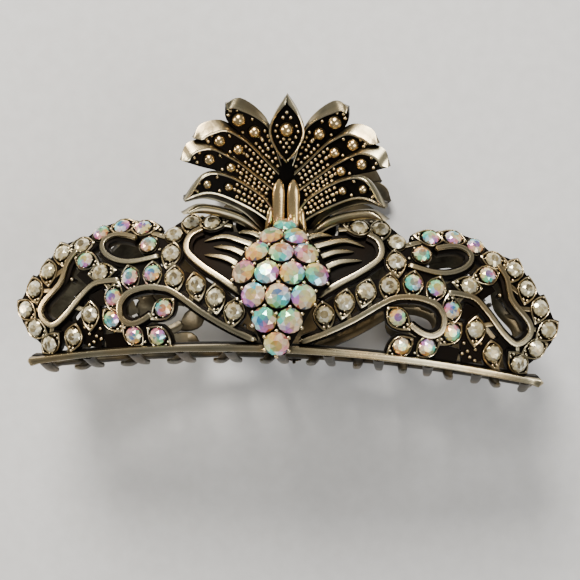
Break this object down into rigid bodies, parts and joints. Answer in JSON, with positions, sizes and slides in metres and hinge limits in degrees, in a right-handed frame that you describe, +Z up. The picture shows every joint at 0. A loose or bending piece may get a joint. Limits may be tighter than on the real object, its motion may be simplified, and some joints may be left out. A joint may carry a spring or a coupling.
{
  "type": "rhinestone hair clip",
  "caption": "Large cast-metal jaw hair clip with a jewelled pineapple motif: two hinged filigree jaws with interlocking teeth, held shut by a torsion spring.",
  "frame": {"origin": "centre of the clip's box at the surface it lies on", "axes": "+X across the clip, +Y from the toothed rim towards the crown levers, +Z up out of the front jaw; the clip lies on its rear jaw"},
  "size_m": [0.0868, 0.0448, 0.0437],
  "materials": {
    "antique_metal": "antiqued, dark in the recesses and polished on the raised edges",
    "pin_steel": "plain steel",
    "spring_steel": "bright spring wire",
    "crystal_ab": "faceted, iridescent aurora coating",
    "crystal_clear": "faceted, foiled back"
  },
  "bodies": {
    "rear_jaw": {"rear_jaw": "antique_metal", "hinge_pin": "pin_steel", "torsion_spring": "spring_steel", "rear_cluster_stone_01": "crystal_ab", "rear_cluster_stone_02": "crystal_ab", "rear_cluster_stone_03": "crystal_ab", "rear_cluster_stone_04": "crystal_ab", "rear_cluster_stone_05": "crystal_ab", "rear_cluster_stone_06": "crystal_ab", "rear_cluster_stone_07": "crystal_ab", "rear_cluster_stone_08": "crystal_ab", "rear_cluster_stone_09": "crystal_ab", "rear_cluster_stone_10": "crystal_ab", "rear_cluster_stone_11": "crystal_ab", "rear_cluster_stone_12": "crystal_ab", "rear_cluster_stone_13": "crystal_ab", "rear_cluster_stone_14": "crystal_ab", "rear_cluster_stone_15": "crystal_ab", "rear_cluster_stone_16": "crystal_ab", "rear_left_outer_stones": "crystal_clear", "rear_left_upper_stones": "crystal_ab", "rear_left_crown_side_stones": "crystal_clear", "rear_left_middle_stones": "crystal_clear", "rear_left_inner_stones": "crystal_ab", "rear_right_outer_stones": "crystal_clear", "rear_right_upper_stones": "crystal_ab", "rear_right_crown_side_stones": "crystal_clear", "rear_right_middle_stones": "crystal_clear", "rear_right_inner_stones": "crystal_ab"},
    "front_jaw": {"front_jaw": "antique_metal", "front_cluster_stone_01": "crystal_ab", "front_cluster_stone_02": "crystal_ab", "front_cluster_stone_03": "crystal_ab", "front_cluster_stone_04": "crystal_ab", "front_cluster_stone_05": "crystal_ab", "front_cluster_stone_06": "crystal_ab", "front_cluster_stone_07": "crystal_ab", "front_cluster_stone_08": "crystal_ab", "front_cluster_stone_09": "crystal_ab", "front_cluster_stone_10": "crystal_ab", "front_cluster_stone_11": "crystal_ab", "front_cluster_stone_12": "crystal_ab", "front_cluster_stone_13": "crystal_ab", "front_cluster_stone_14": "crystal_ab", "front_cluster_stone_15": "crystal_ab", "front_cluster_stone_16": "crystal_ab", "front_left_outer_stones": "crystal_clear", "front_left_upper_stones": "crystal_ab", "front_left_crown_side_stones": "crystal_clear", "front_left_middle_stones": "crystal_clear", "front_left_inner_stones": "crystal_ab", "front_right_outer_stones": "crystal_clear", "front_right_upper_stones": "crystal_ab", "front_right_crown_side_stones": "crystal_clear", "front_right_middle_stones": "crystal_clear", "front_right_inner_stones": "crystal_ab"}
  },
  "joints": [
    {"name": "jaw_hinge", "type": "hinge", "parent": "rear_jaw", "child": "front_jaw", "pos_m": [0, 0.00178, 0.02184], "axis": [-1, 0, 0], "range_deg": [0, 45], "stiffness_Nm_per_rad": 0.15, "springref_deg": -28.65, "deforming": ["torsion_spring"]}
  ]
}
